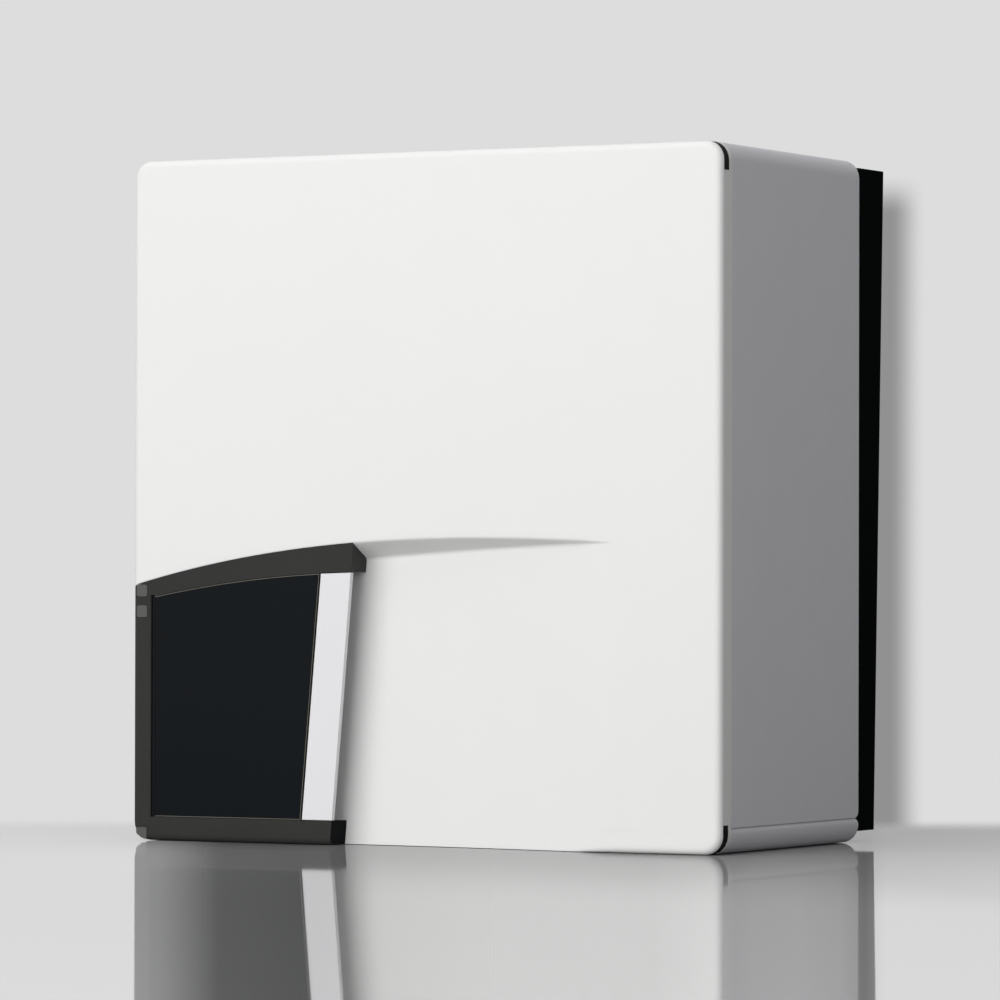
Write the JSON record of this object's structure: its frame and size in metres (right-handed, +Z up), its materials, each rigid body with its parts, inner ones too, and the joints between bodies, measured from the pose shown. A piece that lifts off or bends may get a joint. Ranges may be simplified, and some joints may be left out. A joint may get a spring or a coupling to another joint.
{
  "type": "combi boiler",
  "caption": "Wall-hung combi boiler with a scooped front cover, a hinged flap over its controls, a folded casing and a black wall frame.",
  "frame": {"origin": "middle of the footprint, at the level of the underside", "axes": "+Z up, -Y the front cover, +Y the wall, +X to the right seen from the front"},
  "size_m": [0.675, 0.382, 0.7],
  "materials": {
    "white_cover": "fine white powder coat, slightly textured",
    "grey_casing": "pale grey powder coat",
    "black_frame": "black powder coat",
    "dark_surround": "moulded dark grey plastic, fine grain",
    "black_plastic": "moulded black plastic",
    "smoked_pane": "smoked acrylic, polished",
    "grip_white": "moulded white plastic, satin",
    "cap_plastic": "translucent grey plastic",
    "clear_lens": "clear window",
    "bright_trim": "bright metal",
    "zinc_sheet": "zinc plated sheet",
    "cast_aluminium": "sand cast",
    "brass": "machined brass",
    "copper": null,
    "red_enamel": "red stove enamel",
    "blue_plastic": "moulded blue grey plastic",
    "circuit": "green circuit board"
  },
  "bodies": {
    "chassis": {"casing": "grey_casing", "bottom_tray": "grey_casing", "wall_frame": "black_frame", "hanging_rail": "zinc_sheet", "rear_panel": "zinc_sheet", "control_fascia": "dark_surround", "display_lens": "clear_lens", "gauge_cup": "black_plastic", "gauge_window": "clear_lens", "control_box": "black_plastic", "control_board": "circuit", "cable_gland": "black_plastic", "heat_exchanger": "cast_aluminium", "burner_hood": "cast_aluminium", "fan_housing": "cast_aluminium", "fan_motor": "black_plastic", "venturi": "cast_aluminium", "gas_valve": "cast_aluminium", "gas_pipe": "brass", "condensate_sump": "black_plastic", "flue_pipe": "grip_white", "flue_collar": "black_plastic", "air_collar": "black_plastic", "condensate_trap": "blue_plastic", "heating_flow_tail": "brass", "hot_water_tail": "brass", "gas_tail": "brass", "cold_water_tail": "brass", "heating_return_tail": "brass", "flow_block": "brass", "return_block": "brass", "plate_exchanger": "zinc_sheet", "diverter_actuator": "black_plastic", "pump_volute": "cast_aluminium", "pump_motor": "red_enamel", "expansion_vessel": "red_enamel", "flow_pipe": "copper", "return_pipe": "copper"},
    "front_cover": {"front_cover": "white_cover", "flap_surround": "dark_surround", "hinge_cap_high": "cap_plastic", "hinge_cap_middle": "cap_plastic", "hinge_cap_low": "cap_plastic", "flap_hinge_pin_lower": "bright_trim", "flap_hinge_pin_upper": "bright_trim", "corner_insert_upper_left": "black_plastic", "corner_insert_upper_right": "black_plastic", "corner_insert_lower_right": "black_plastic"},
    "flap": {"flap_carrier": "black_plastic", "flap_trim": "bright_trim", "flap_pane": "smoked_pane", "flap_grip": "grip_white"},
    "button_1": {"button_1": "grip_white"},
    "button_2": {"button_2": "grip_white"},
    "button_3": {"button_3": "grip_white"},
    "button_4": {"button_4": "grip_white"},
    "mains_rocker": {"mains_rocker": "black_plastic"},
    "gauge_needle": {"gauge_needle": "red_enamel"},
    "fan_impeller": {"fan_impeller": "black_plastic"},
    "pump_wheel": {"pump_wheel": "black_plastic"}
  },
  "joints": [
    {"name": "cover_slide", "type": "slide", "parent": "chassis", "child": "front_cover", "axis": [0, -1, 0], "range_m": [0, 0.12]},
    {"name": "flap_hinge", "type": "hinge", "parent": "front_cover", "child": "flap", "pos_m": [-0.3115, -0.1877, 0.15], "axis": [0, 0, -1], "range_deg": [0, 100]},
    {"name": "button_1_press", "type": "slide", "parent": "chassis", "child": "button_1", "axis": [0, 1, 0], "range_m": [0, 0.0016], "stiffness_N_per_m": 900},
    {"name": "button_2_press", "type": "slide", "parent": "chassis", "child": "button_2", "axis": [0, 1, 0], "range_m": [0, 0.0016], "stiffness_N_per_m": 900},
    {"name": "button_3_press", "type": "slide", "parent": "chassis", "child": "button_3", "axis": [0, 1, 0], "range_m": [0, 0.0016], "stiffness_N_per_m": 900},
    {"name": "button_4_press", "type": "slide", "parent": "chassis", "child": "button_4", "axis": [0, 1, 0], "range_m": [0, 0.0016], "stiffness_N_per_m": 900},
    {"name": "rocker_tilt", "type": "hinge", "parent": "chassis", "child": "mains_rocker", "pos_m": [-0.182, -0.15, 0.068], "axis": [1, 0, 0], "range_deg": [-7, 7]},
    {"name": "needle_turn", "type": "hinge", "parent": "chassis", "child": "gauge_needle", "pos_m": [-0.264, -0.149, 0.078], "axis": [0, 1, 0], "range_deg": [-120, 120]},
    {"name": "fan_spin", "type": "hinge", "parent": "chassis", "child": "fan_impeller", "pos_m": [-0.032, -0.051, 0.613], "axis": [0, 0, 1], "continuous": true},
    {"name": "pump_spin", "type": "hinge", "parent": "chassis", "child": "pump_wheel", "pos_m": [0.176, 0.031, 0.1336], "axis": [0, 1, 0], "continuous": true}
  ]
}
